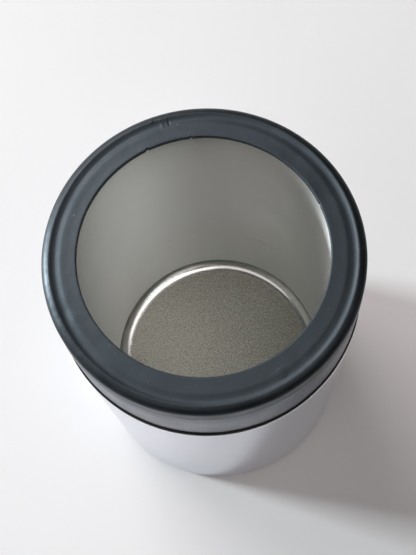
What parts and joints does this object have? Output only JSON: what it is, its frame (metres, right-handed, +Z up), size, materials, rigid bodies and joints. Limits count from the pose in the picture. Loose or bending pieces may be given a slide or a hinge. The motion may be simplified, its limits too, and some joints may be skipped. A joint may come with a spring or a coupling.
{
  "type": "insulated can holder",
  "caption": "Double-walled steel can holder, open at the top, with a dark screw-on plastic collar and a soft rubber grip ring round its mouth.",
  "frame": {"origin": "middle of the foot, on the surface that the holder stands on", "axes": "+Z up along the axis of the cup; +X passes through the side that is to the right in the picture, and -Y is the side towards the camera"},
  "size_m": [0.0878, 0.0878, 0.1235],
  "materials": {
    "satin_steel": "pale satin stainless steel, fine and even",
    "liner_steel": "satin stainless steel, with a coarse blasted floor",
    "pressed_steel": "plain pressed stainless steel",
    "solder": "dull grey solder",
    "getter_metal": "dark sintered metal",
    "collar_plastic": "dark blue-black moulded plastic with a soft shine",
    "ring_rubber": "dark blue-grey soft rubber, slightly scuffed"
  },
  "bodies": {
    "vessel": {"outer_shell": "satin_steel", "inner_liner": "liner_steel", "base_plate": "pressed_steel", "seal_bead": "solder", "getter_pill": "getter_metal"},
    "ring": {"grip_ring": "ring_rubber"},
    "collar": {"screw_collar": "collar_plastic"}
  },
  "joints": [
    {"name": "ring_lift", "type": "slide", "parent": "vessel", "child": "ring", "axis": [0, 0, 1], "range_m": [0, 0.01]},
    {"name": "collar_turn", "type": "hinge", "parent": "ring", "child": "collar", "pos_m": [0, 0, 0.097], "axis": [0, 0, 1], "range_deg": [0, 900]}
  ],
  "couplings": [
    {"joint": "ring_lift", "follows": "collar_turn", "m_per_rad": 0.00063662}
  ]
}
